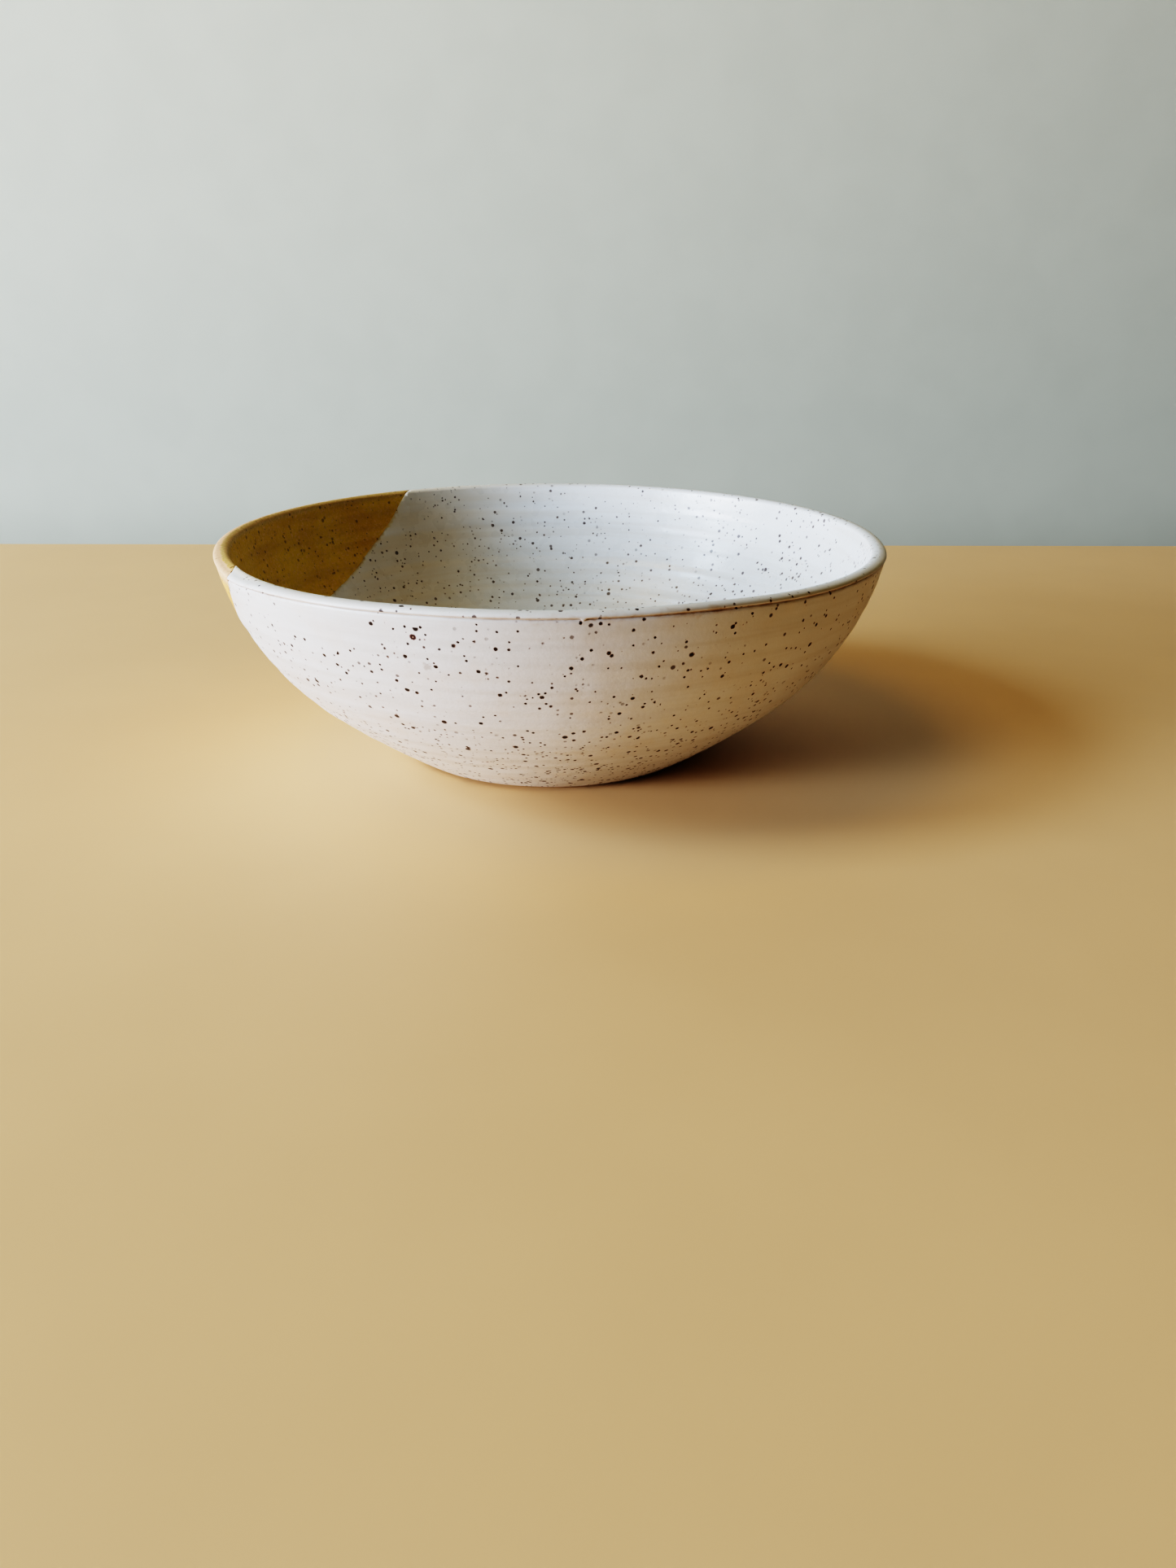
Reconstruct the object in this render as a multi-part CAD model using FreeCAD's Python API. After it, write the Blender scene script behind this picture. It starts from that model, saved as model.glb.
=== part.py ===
"""Wheel-thrown stoneware bowl: one fired clay body, with three glaze coats fused onto it.

The frame is in millimetres, +Z up, with the origin at the centre of the foot, on the table.
Each piece is a section turned about Z. The coats are drawn on the clay's own curves, so clay and
glaze meet face to face, and all the curves of the side share two centres.
"""
import FreeCAD, Part
import math
import os

# Overall size, over the glaze
rim_radius = 98.0           # widest point, on the outside of the lip
height = 65.0               # table to the crest of the lip
wall = 4.05                 # thickness of the side, glaze included
glaze = 0.45                # thickness of each coat

# Side of the bowl: a round shoulder that runs down into a nearly straight lower wall
shoulder_radius = 74.0      # outside, from the lip down to the shoulder
lip_slope = 79.3            # degrees from the table, where the side meets the lip
shoulder_slope = 39.5       # degrees from the table, where the two arcs meet
lower_radius = 240.0        # outside, from the shoulder down to the foot

# Lip: a slightly flattened round, a little proud of the side
lip_rise = 1.7              # from the lip's widest point up to its crest
lip_overhang = 0.28         # how far the lip stands out past the side
lip_roll = 0.6              # how far the liner glaze runs down past the lip's widest point
roll_bulge_in = 0.15        # the rolled edge's middle point: this far in from the widest point
roll_bulge_down = 0.45      # and this far down
bare_line = 0.5             # height of the bare clay line between liner and outer glaze

# Foot ring, cut into the base and left bare
recess_radius = 34.5
recess_depth = 2.0
recess_bevel = 2.0          # the recess widens by this much on its way down
bare_foot = 1.2             # the outer glaze is wiped off below this height

# Ochre dip: beyond a tilted plane the coat is ochre instead of white
dip_azimuth = 168.3         # the way that the plane faces, degrees from +X towards +Y
dip_tilt = 24.0             # degrees that it faces upwards
dip_distance = 89.2         # from the origin to the plane


def point(r, z):
    return FreeCAD.Vector(r, 0, z)


def on_arc(centre, radius, slope):
    """The point of an arc where the arc slopes by that angle: 0 is straight below the centre."""
    a = math.radians(slope)
    return point(centre.x + radius * math.sin(a), centre.z - radius * math.cos(a))


def slope_at(centre, radius, z):
    """The slope of an arc at height z, in degrees."""
    return math.degrees(math.acos((centre.z - z) / radius))


def arc(centre, radius, start, end):
    """Arc edge between two slopes."""
    middle = on_arc(centre, radius, (start + end) / 2)
    return Part.Arc(on_arc(centre, radius, start), middle, on_arc(centre, radius, end)).toShape()


def line(start, end):
    return Part.makeLine(start, end)


# The lip's widest point, and the centres that the side's arcs share
lip_z = height - lip_rise
side_at_lip = point(rim_radius - lip_overhang, lip_z)
shoulder_centre = on_arc(side_at_lip, -shoulder_radius, lip_slope)
lower_centre = on_arc(shoulder_centre, shoulder_radius - lower_radius, shoulder_slope)

clay_in = shoulder_radius - wall + glaze      # radius of the clay's inner face
glaze_in = shoulder_radius - wall             # radius of the liner's inner face


def side(depth, top, bottom):
    """Outer side, that far below the glazed surface, from height top down to height bottom."""
    upper = shoulder_radius - depth
    lower = lower_radius - depth
    return [arc(shoulder_centre, upper, slope_at(shoulder_centre, upper, top), shoulder_slope),
            arc(lower_centre, lower, shoulder_slope, slope_at(lower_centre, lower, bottom))]


def side_point(depth, z):
    """Point of the shoulder arc at height z, that far below the glazed surface."""
    radius = shoulder_radius - depth
    return on_arc(shoulder_centre, radius, slope_at(shoulder_centre, radius, z))


def inside(radius):
    """Inner face from the lip down: the arc of the wall, then the flat floor to the axis."""
    wall_arc = arc(shoulder_centre, radius, slope_at(shoulder_centre, radius, lip_z), 0)
    floor_z = shoulder_centre.z - radius
    return [wall_arc, line(point(shoulder_centre.x, floor_z), point(0, floor_z))]


def lip(outer, inner, rise):
    """Half ellipse over the lip, from its outer to its inner point."""
    centre = point((outer.x + inner.x) / 2, lip_z)
    crest = centre + point(0, rise)
    ellipse = Part.Ellipse(outer, crest, centre)
    return Part.ArcOfEllipse(ellipse, 0, math.pi).toShape()


def turned(edges):
    """Solid made by turning a closed section about Z."""
    face = Part.Face(Part.Wire(Part.__sortEdges__(edges)))
    solid = face.revolve(FreeCAD.Vector(0, 0, 0), FreeCAD.Vector(0, 0, 1), 360)
    return solid if solid.Volume > 0 else solid.reversed()


def inner_point(radius):
    return on_arc(shoulder_centre, radius, slope_at(shoulder_centre, radius, lip_z))


# The clay's lip, which the coats roll over
clay_lip_out = side_point(glaze, lip_z)
clay_lip_in = inner_point(clay_in)
clay_lip = lip(clay_lip_out, clay_lip_in, lip_rise - glaze)
clay_floor_z = shoulder_centre.z - clay_in
glaze_floor_z = shoulder_centre.z - glaze_in


def clay_body():
    """Foot ring, side, lip, inner face and floor: thrown and turned from one lump."""
    lower = lower_radius - glaze
    foot_edge = on_arc(lower_centre, lower, slope_at(lower_centre, lower, 0))
    foot_inner = point(recess_radius + recess_bevel, 0)
    recess_corner = point(recess_radius, recess_depth)
    recess_middle = point(0, recess_depth)
    return turned(side(glaze, lip_z, 0) + [clay_lip] + inside(clay_in) + [
        line(point(0, clay_floor_z), recess_middle),
        line(recess_middle, recess_corner),
        line(recess_corner, foot_inner),
        line(foot_inner, foot_edge)])


def glazed_lip():
    return lip(point(rim_radius, lip_z), inner_point(glaze_in), lip_rise)


def over_clay_lip(low):
    """The clay's own surface from that height on the outside, over the lip and down to the floor."""
    radius = shoulder_radius - glaze
    under = arc(shoulder_centre, radius, slope_at(shoulder_centre, radius, low),
                slope_at(shoulder_centre, radius, lip_z))
    return [under, clay_lip] + inside(clay_in)


def liner_coat():
    """White coat of the inside, carried over the lip to a rounded edge just below it."""
    low = lip_z - lip_roll
    middle = point(rim_radius - roll_bulge_in, lip_z - roll_bulge_down)
    rolled_edge = Part.Arc(point(rim_radius, lip_z), middle, side_point(glaze, low)).toShape()
    return turned(over_clay_lip(low) + [rolled_edge, glazed_lip()] + inside(glaze_in) + [
        line(point(0, glaze_floor_z), point(0, clay_floor_z))])


def coat_end(centre, clay_radius, z):
    """Square end of the outer coat, at height z on the clay."""
    slope = slope_at(centre, clay_radius, z)
    return on_arc(centre, clay_radius, slope), on_arc(centre, clay_radius + glaze, slope)


def outer_coat():
    """White coat of the outside, from the bare line under the lip down to the bare foot."""
    top_in, top_out = coat_end(shoulder_centre, shoulder_radius - glaze,
                               lip_z - lip_roll - bare_line)
    low_in, low_out = coat_end(lower_centre, lower_radius - glaze, bare_foot)
    return turned(side(glaze, top_in.z, low_in.z) + side(0, top_out.z, low_out.z) + [
        line(top_in, top_out), line(low_in, low_out)])


def whole_coat():
    """One unbroken coat over the inside, the lip and the outside."""
    low_in, low_out = coat_end(lower_centre, lower_radius - glaze, bare_foot)
    joint_z = lip_z - lip_roll - bare_line
    return turned(side(glaze, lip_z, low_in.z) + [clay_lip] + inside(clay_in) + [
        line(point(0, clay_floor_z), point(0, glaze_floor_z))] + inside(glaze_in) + [
        glazed_lip(), line(point(rim_radius, lip_z), side_point(0, joint_z))]
        + side(0, joint_z, low_out.z) + [line(low_in, low_out)])


def dip():
    """Block of all that lay under the surface of the ochre glaze when the bowl was dipped."""
    size = 4 * rim_radius
    azimuth = math.radians(dip_azimuth)
    tilt = math.radians(dip_tilt)
    facing = FreeCAD.Vector(math.cos(azimuth) * math.cos(tilt),
                            math.sin(azimuth) * math.cos(tilt), math.sin(tilt))
    block = Part.makeBox(size, size, size, FreeCAD.Vector(-size / 2, -size / 2, 0))
    turn = FreeCAD.Rotation(FreeCAD.Vector(0, 0, 1), facing)
    block.Placement = FreeCAD.Placement(facing * dip_distance, turn)
    return block


def main():
    os.makedirs("parts", exist_ok=True)
    dipped = dip()
    pieces = {
        "clay_body": clay_body(),
        "white_liner_glaze": liner_coat().cut(dipped),
        "white_outer_glaze": outer_coat().cut(dipped),
        "ochre_dip_glaze": whole_coat().common(dipped),
    }
    for name, shape in pieces.items():
        shape.exportStep(f"parts/{name}.step")
        box = shape.BoundBox
        print(name, "valid", shape.isValid(), "solids", len(shape.Solids),
              "volume", round(shape.Volume), "z", round(box.ZMin, 2), round(box.ZMax, 2),
              "x", round(box.XMin, 2), round(box.XMax, 2))


main()
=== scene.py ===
import math

import bmesh
import bpy
import numpy as np
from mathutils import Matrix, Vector


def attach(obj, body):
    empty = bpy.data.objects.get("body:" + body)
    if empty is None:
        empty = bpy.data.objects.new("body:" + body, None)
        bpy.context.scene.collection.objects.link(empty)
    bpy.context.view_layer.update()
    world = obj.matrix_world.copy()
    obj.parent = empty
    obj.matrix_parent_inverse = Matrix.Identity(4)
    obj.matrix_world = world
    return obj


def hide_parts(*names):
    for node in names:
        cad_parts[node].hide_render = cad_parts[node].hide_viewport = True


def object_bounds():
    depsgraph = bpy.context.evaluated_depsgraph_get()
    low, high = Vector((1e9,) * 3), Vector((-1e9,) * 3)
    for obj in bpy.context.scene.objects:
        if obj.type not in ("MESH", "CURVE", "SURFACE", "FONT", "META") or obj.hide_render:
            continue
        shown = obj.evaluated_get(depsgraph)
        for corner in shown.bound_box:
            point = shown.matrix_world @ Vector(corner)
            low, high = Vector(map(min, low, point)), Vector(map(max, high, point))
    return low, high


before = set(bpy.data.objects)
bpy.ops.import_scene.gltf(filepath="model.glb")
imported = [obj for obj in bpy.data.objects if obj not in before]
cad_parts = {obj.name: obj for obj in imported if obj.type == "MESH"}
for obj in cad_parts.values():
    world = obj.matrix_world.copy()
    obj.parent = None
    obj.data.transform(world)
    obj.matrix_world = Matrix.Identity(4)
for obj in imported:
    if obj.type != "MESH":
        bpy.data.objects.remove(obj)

cad_low, cad_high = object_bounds()

# ---------------------------------------------------------------------------------------------
# The bowl's section, in millimetres at its nominal size. UNIT carries it to the frame's metres.
# ---------------------------------------------------------------------------------------------
RIM = 98.0                                  # radius of the lip at its widest, over the glaze
HEIGHT = 65.0                               # table to the crest of the lip
UNIT = (cad_high.x - cad_low.x) / (2 * RIM)

WALL, GLAZE = 4.05, 0.45                    # thickness of the side with its coats, and of a coat
SIDE_Z = HEIGHT - 1.7                       # the CAD's lip is widest here, and the side starts
LIP_OVERHANG = 0.28                         # this far in from the lip's widest point
LIP_RISE = 1.15                             # from the lip's widest point up to its crest
LIP_Z = HEIGHT - LIP_RISE                   # height of the lip's widest point
LIP_ROLL = 0.38                             # the liner's edge is this far below that point
BARE_LINE = 0.5                             # the CAD's height of bare clay under that edge
OCHRE_NOTCH = 0.9                           # the ochre's overhang ends this far below LIP_Z

# The two arcs of the outside: radii, slopes at the lip and where the arcs meet, and centres
SHOULDER_RADIUS, LOWER_RADIUS = 74.0, 240.0
LIP_SLOPE, SHOULDER_SLOPE = math.radians(79.3), math.radians(39.5)
SHOULDER = (RIM - LIP_OVERHANG - SHOULDER_RADIUS * math.sin(LIP_SLOPE),
            SIDE_Z + SHOULDER_RADIUS * math.cos(LIP_SLOPE))
LOWER = (SHOULDER[0] + (SHOULDER_RADIUS - LOWER_RADIUS) * math.sin(SHOULDER_SLOPE),
         SHOULDER[1] - (SHOULDER_RADIUS - LOWER_RADIUS) * math.cos(SHOULDER_SLOPE))
CLAY_OUT, CLAY_OUT_LOWER = SHOULDER_RADIUS - GLAZE, LOWER_RADIUS - GLAZE
CLAY_IN, GLAZE_IN = SHOULDER_RADIUS - WALL + GLAZE, SHOULDER_RADIUS - WALL
RECESS, RECESS_DEPTH, RECESS_BEVEL = 34.5, 2.0, 2.0
BARE_FOOT = 1.2                             # the outer glaze is wiped off below this height

# The ochre dip's plane: the way it faces, how far upwards, and its distance from the origin
DIP_AZIMUTH, DIP_TILT, DIP_DISTANCE = math.radians(168.3), math.radians(24.0), 89.2
DIP_NORMAL = np.array([math.cos(DIP_AZIMUTH) * math.cos(DIP_TILT),
                       math.sin(DIP_AZIMUTH) * math.cos(DIP_TILT), math.sin(DIP_TILT)])

# A small glaze drip that crosses the bare line at the front. The sections are turned through one
# column of points for each degree, with more of them at the drip.
DRIP_AT, DRIP_WIDTH, DRIP_LENGTH = math.radians(-84.2), 0.55, 0.75
TURNS = np.union1d(np.linspace(-math.pi, math.pi, 360, endpoint=False),
                   DRIP_AT + np.radians(np.arange(-2.0, 2.01, 0.2)))
COLUMNS = len(TURNS)


# ---------------------------------------------------------------------------------------------
# Curves of the section. Each gives one row of (radius, height) points for every column.
# ---------------------------------------------------------------------------------------------
def smooth(low, high, value):
    """Smooth step from 0 at low to 1 at high."""
    t = np.clip((value - low) / (high - low), 0, 1)
    return t * t * (3 - 2 * t)


def each(value):
    """A value for every column."""
    return np.broadcast_to(np.asarray(value, float), (COLUMNS,))


def polar(centre, radius, slope):
    """Points of an arc where it slopes by that angle. Slope 0 is straight below the centre."""
    return np.stack([centre[0] + radius * np.sin(slope), centre[1] - radius * np.cos(slope)], -1)


def slope_at(centre, radius, z):
    """The slope of an arc at height z."""
    return np.arccos((centre[1] - z) / radius)


def arc(centre, radius, start, end, count):
    """Arc between two slopes, which may change round the bowl."""
    t = np.linspace(0, 1, count)
    return polar(centre, radius, np.outer(each(start), 1 - t) + np.outer(each(end), t))


def straight(start, end, count):
    t = np.linspace(0, 1, count)[:, None]
    row = np.asarray(start) * (1 - t) + np.asarray(end) * t
    return np.broadcast_to(row, (COLUMNS, count, 2))


def half_ellipse(outer, inner, rise, count):
    """Half ellipse over the lip, from its outer to its inner point."""
    t = np.linspace(0, math.pi, count)
    row = np.stack([(outer + inner) / 2 + (outer - inner) / 2 * np.cos(t),
                    LIP_Z + rise * np.sin(t)], -1)
    return np.broadcast_to(row, (COLUMNS, count, 2))


def chain(*parts):
    """Joins runs of points end to end, keeping each shared point once."""
    return np.concatenate([p[:, :-1] for p in parts[:-1]] + [parts[-1]], 1)


def periodic(seed, low, high):
    """Smooth random wave round the bowl, from -1 to 1, made of that range of whole waves."""
    rng = np.random.default_rng(seed)
    wave = sum(np.cos(k * TURNS + rng.uniform(0, 2 * math.pi)) * rng.uniform(0.5, 1) / math.sqrt(k)
               for k in range(low, high + 1))
    return wave / np.abs(wave).max()


def near(angle, width):
    """Bell round the bowl, 1 at that angle and falling away over that width, in radians."""
    away = (TURNS - angle + math.pi) % (2 * math.pi) - math.pi
    return np.exp(-(away / width) ** 2)


# ---------------------------------------------------------------------------------------------
# Uneven edges: the liner's rolled edge, the bare line under it, and the wiped foot
# ---------------------------------------------------------------------------------------------
LINER_WAVE, LINER_RIPPLE = 0.10, 0.16           # heights in mm of the waves in the liner's edge
RIPPLE_AT, RIPPLE_WIDTH = math.radians(-118), 0.22      # where its ripples are strongest
BARE_WIDEST_AT = math.radians(-58)              # the bare line is widest there
BARE_SHARE, BARE_SWING = 0.40, 0.30             # its mean height and its change, of BARE_LINE
BARE_WAVE, BARE_LEAST = 0.09, 0.05              # height of its waves, and its least height, in mm
COATS_APART = 0.08                              # least gap in mm between coats, but for the drip
FOOT_WAVE = 0.22                                # height in mm of the waves in the wiped edge
COAT_EDGE = 0.8                                 # the outer coat rounds off over this length


def edge_heights():
    """Heights of the liner's lower edge, the outer coat's upper edge and its lower edge."""
    ripples = LINER_RIPPLE * periodic(4, 14, 44) * near(RIPPLE_AT, RIPPLE_WIDTH)
    wavy = LIP_Z - LIP_ROLL - (LINER_WAVE * periodic(3, 5, 26) + ripples)
    drip = near(DRIP_AT, DRIP_WIDTH / RIM) * DRIP_LENGTH
    bare = BARE_LINE * (BARE_SHARE + BARE_SWING * np.cos(TURNS - BARE_WIDEST_AT))
    bare = np.clip(bare + BARE_WAVE * periodic(5, 4, 30), BARE_LEAST, None)
    top = np.minimum(LIP_Z - LIP_ROLL - bare, wavy - COATS_APART)
    return wavy - drip, top, BARE_FOOT + FOOT_WAVE * periodic(6, 2, 18)


LINER_LOW, COAT_TOP, COAT_LOW = edge_heights()


# ---------------------------------------------------------------------------------------------
# Sections of the pieces. Each gives its points, and for every point 1 on the skin or 0 on clay.
# Counts are the numbers of points along a curve.
# ---------------------------------------------------------------------------------------------
def side(depth, top, low, counts):
    """Outer side from height top down to height low, that far below the glazed surface."""
    upper, lower = SHOULDER_RADIUS - depth, LOWER_RADIUS - depth
    return chain(arc(SHOULDER, upper, slope_at(SHOULDER, upper, top), SHOULDER_SLOPE, counts[0]),
                 arc(LOWER, lower, SHOULDER_SLOPE, slope_at(LOWER, lower, low), counts[1]))


def inside(radius, counts):
    """Inner face, from the lip down the wall and over the floor to the axis."""
    floor = SHOULDER[1] - radius
    return chain(arc(SHOULDER, radius, slope_at(SHOULDER, radius, LIP_Z), 0, counts[0]),
                 straight((SHOULDER[0], floor), (0, floor), counts[1]))


def at_lip(radius):
    """How far from the axis one of the shared arcs is at the lip."""
    return polar(SHOULDER, radius, slope_at(SHOULDER, radius, LIP_Z))[0]


def clay_lip(count):
    return half_ellipse(at_lip(CLAY_OUT), at_lip(CLAY_IN), LIP_RISE - GLAZE, count)


def glazed_lip(count):
    return half_ellipse(RIM, at_lip(GLAZE_IN), LIP_RISE, count)


def rounded_end(centre, clay_radius, z, way, count):
    """Where the outer coat thins to nothing: from the clay out to the full coat, going that way."""
    turn = np.linspace(0, math.pi / 2, count)
    end = slope_at(centre, clay_radius, z)
    slope = end[:, None] + way * COAT_EDGE * (1 - np.cos(turn)) / clay_radius
    return polar(centre, clay_radius + GLAZE * np.sin(turn), slope)


ROLL_FULLNESS = 0.8         # power under 1, which makes the rolled edge fuller than an ellipse


def rolled_edge(count):
    """Round edge of the liner, from the clay out to the lip's widest point."""
    clay = polar(SHOULDER, CLAY_OUT, slope_at(SHOULDER, CLAY_OUT, LINER_LOW))
    t = np.linspace(0, math.pi / 2, count)
    r = clay[:, :1] + (RIM - clay[:, :1]) * np.sin(t) ** ROLL_FULLNESS
    z = LIP_Z + (clay[:, 1:] - LIP_Z) * np.cos(t)
    return np.stack([r, z], -1)


def clay_over_lip(low, counts):
    """The clay's surface from the floor up the inner face, over the lip and down to height low."""
    under = arc(SHOULDER, CLAY_OUT, slope_at(SHOULDER, CLAY_OUT, LIP_Z),
                slope_at(SHOULDER, CLAY_OUT, low), 4)
    return chain(inside(CLAY_IN, counts)[:, ::-1], clay_lip(9)[:, ::-1], under)


def with_skin(clay_part, skin_part):
    """A coat's loop: points on the clay, then points on the glazed skin."""
    points = np.concatenate([clay_part[:, :-1], skin_part], 1)
    skin = np.zeros(points.shape[:2])
    skin[:, clay_part.shape[1]:] = 1
    return points, skin


def liner_section():
    skin = chain(rolled_edge(9), glazed_lip(23), inside(GLAZE_IN, (128, 26)))
    return with_skin(clay_over_lip(LINER_LOW, (52, 10)), skin)


def coat_section():
    """Loop of the outer coat, from its top edge down the skin and back up along the clay."""
    top = rounded_end(SHOULDER, CLAY_OUT, COAT_TOP, -1, 7)
    low = rounded_end(LOWER, CLAY_OUT_LOWER, COAT_LOW, 1, 6)
    skin = chain(top, side(0, top[:, -1, 1], low[:, -1, 1], (68, 46)), low[:, ::-1])
    clay = side(GLAZE, COAT_TOP, COAT_LOW, (30, 20))[:, ::-1]
    points, on_skin = with_skin(skin, clay[:, :-1])
    return points, 1 - on_skin


def overhang(count):
    """Ochre skin from under the lip up to its widest point, easing out into the overhang."""
    z = np.linspace(LIP_Z - OCHRE_NOTCH, LIP_Z, count)
    ease = smooth(0, 1, np.linspace(0, 1, count))
    r = polar(SHOULDER, SHOULDER_RADIUS, slope_at(SHOULDER, SHOULDER_RADIUS, z))[:, 0]
    return np.broadcast_to(np.stack([r + (RIM - r[-1]) * ease, z], -1), (COLUMNS, count, 2))


def dipped_section():
    """The ochre coat before it is cut at the dip's edge: one coat over inside, lip and outside."""
    low = rounded_end(LOWER, CLAY_OUT_LOWER, COAT_LOW, 1, 4)
    outside = side(0, LIP_Z - OCHRE_NOTCH, low[:, -1, 1], (66, 20))[:, ::-1]
    skin = chain(low, outside, overhang(6), glazed_lip(23), inside(GLAZE_IN, (128, 12)))
    clay = chain(inside(CLAY_IN, (52, 6))[:, ::-1], clay_lip(9)[:, ::-1],
                 side(GLAZE, LIP_Z, COAT_LOW, (30, 10)))
    return with_skin(clay, skin)


RECESS_CORNER = 0.9         # the hollow's floor ends this far in from its corner
TOOL_RIDGE, TOOL_PITCH, TOOL_START = 0.055, 2.6, 4      # the spiral fades in over the first 4 mm
RECESS_DISH = 0.25          # the hollow is this much deeper in the middle


def recess_points(count):
    """The turned hollow of the base, with the spiral that the trimming tool left."""
    r = np.linspace(0, RECESS - RECESS_CORNER, count)
    spiral = np.cos(2 * math.pi * r[None] / TOOL_PITCH - TURNS[:, None])
    ridge = TOOL_RIDGE * spiral * np.clip(r / TOOL_START, 0, 1)
    dish = RECESS_DISH * np.cos(math.pi * r / (2 * RECESS))
    return np.stack([np.broadcast_to(r, ridge.shape), RECESS_DEPTH + dish + ridge], -1)


FOOT_EDGE = 0.9             # the side ends at this height, and is cut back under there


def foot_ring():
    """From the recess's corner down over the bare resting face and out under the side."""
    edge = polar(LOWER, CLAY_OUT_LOWER, slope_at(LOWER, CLAY_OUT_LOWER, FOOT_EDGE))
    foot = RECESS + RECESS_BEVEL
    row = [(RECESS - 0.35, RECESS_DEPTH - 0.12), (RECESS + 0.1, RECESS_DEPTH - 0.55),
           (foot - 0.55, 0.65), (foot - 0.2, 0.22), (foot + 0.3, 0.04), (foot + 0.9, 0),
           (foot + 2.2, 0), (edge[0] - 3.5, 0), (edge[0] - 3.1, 0.05), (edge[0] - 2.75, 0.2),
           (edge[0] - 2.3, 0.44), (edge[0] - 1.7, 0.62), (edge[0] - 1.0, 0.72),
           (edge[0] - 0.35, 0.80), tuple(edge)]
    return np.broadcast_to(np.array(row), (COLUMNS, len(row), 2))


def clay_section():
    outside = side(GLAZE, LIP_Z, FOOT_EDGE, (50, 28))[:, ::-1]
    points = np.concatenate([recess_points(64), foot_ring()[:, :-1],
                             chain(outside, clay_lip(9), inside(CLAY_IN, (44, 8)))], 1)
    return points, np.zeros(points.shape[:2])


# ---------------------------------------------------------------------------------------------
# What the potter's hands did to the perfect section: one field that moves clay and glaze alike
# ---------------------------------------------------------------------------------------------
def section_place(r, z):
    """Depths under the outer and inner skins, arc lengths down both, and the way outwards."""
    dr, dz = r - SHOULDER[0], z - SHOULDER[1]
    slope = np.arctan2(np.maximum(dr, 0), -dz)
    reach = np.where(dr > 0, np.hypot(dr, dz), -dz)
    lower_slope = np.arctan2(r - LOWER[0], LOWER[1] - z)
    is_lower = slope < SHOULDER_SLOPE
    depth_out = np.where(is_lower, LOWER_RADIUS - np.hypot(r - LOWER[0], z - LOWER[1]),
                         SHOULDER_RADIUS - reach)
    along_out = np.where(is_lower, SHOULDER_RADIUS * (LIP_SLOPE - SHOULDER_SLOPE)
                         + LOWER_RADIUS * (SHOULDER_SLOPE - lower_slope),
                         SHOULDER_RADIUS * (LIP_SLOPE - slope))
    depth_in = reach - GLAZE_IN
    along_in = GLAZE_IN * (LIP_SLOPE - slope) + np.maximum(-dr, 0)
    way = np.stack([np.where(dr > 0, dr, 0) / reach, dz / reach], -1)
    return depth_out, depth_in, along_out, along_in, way


# Throwing rings: (pitch in mm, turns of the spiral, height in mm, phase)
RINGS_INSIDE = ((9.1, 1, 0.110, 0.4), (5.6, 1, 0.140, 2.1), (3.7, 2, 0.055, 4.0),
                (2.3, 1, 0.018, 1.2))
RINGS_OUTSIDE = ((11.3, 1, 0.060, 1.3), (6.4, 1, 0.036, 0.2), (3.9, 2, 0.016, 2.9))
RING_SWELL, SWELL_RINGS = 0.35, 2.9     # share of the height that comes and goes, and how slowly


def rings(table, along, turn):
    """Height of the throwing rings. Each set swells and fades along the wall and round it."""
    height = np.zeros_like(along)
    for pitch, spiral, size, phase in table:
        drift = along / (SWELL_RINGS * pitch) + phase * 1.7 + np.sin(turn + phase)
        swell = 1 - RING_SWELL + RING_SWELL * np.sin(drift)
        height += size * swell * np.cos(2 * math.pi * along / pitch + spiral * turn + phase)
    return height


def lumps(points, seed, low, high, size):
    """Smooth random swelling, from waves of those lengths in mm in every direction."""
    rng = np.random.default_rng(seed)
    total = np.zeros(len(points))
    count = 14                  # waves that are added up
    for _ in range(count):
        way = rng.normal(size=3)
        way *= 2 * math.pi / rng.uniform(low, high) / np.linalg.norm(way)
        total += np.sin(points @ way + rng.uniform(0, 2 * math.pi))
    return size * total / math.sqrt(count)


# Sizes of the hand work in mm. Each pair for a fade gives the two ends of a smooth step.
SKIN_FADE, FOOT_FADE = (0.6, 2.0), (0.5, 5)     # depth under the skin, and height above the foot
RINGS_END = (LIP_Z - 7, LIP_Z - 1.5)            # the throwing rings fade out below the lip
BODY_SWELL = (24, 60, 0.05)                     # shortest and longest wave, and height
SKIN_LUMPS = (3.5, 9, 0.016)                    # the same for the glaze's skin
DIP_WANDER, WANDER_REACH = (5, 22, 0.16), 5     # the dip's edge wanders, within that reach
BEAD, BEAD_WIDTH = 0.10, 0.7                    # the white coats' bead along the dip's edge
FRONT_SHIFT, SHIFT_REACH = 2.4, 14              # at the front, the ochre goes on past its plane
SHIFT_OVER_LIP, SHIFT_BEHIND = (-5, 1.5), (-20, 20)     # and fades out inside and behind


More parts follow.
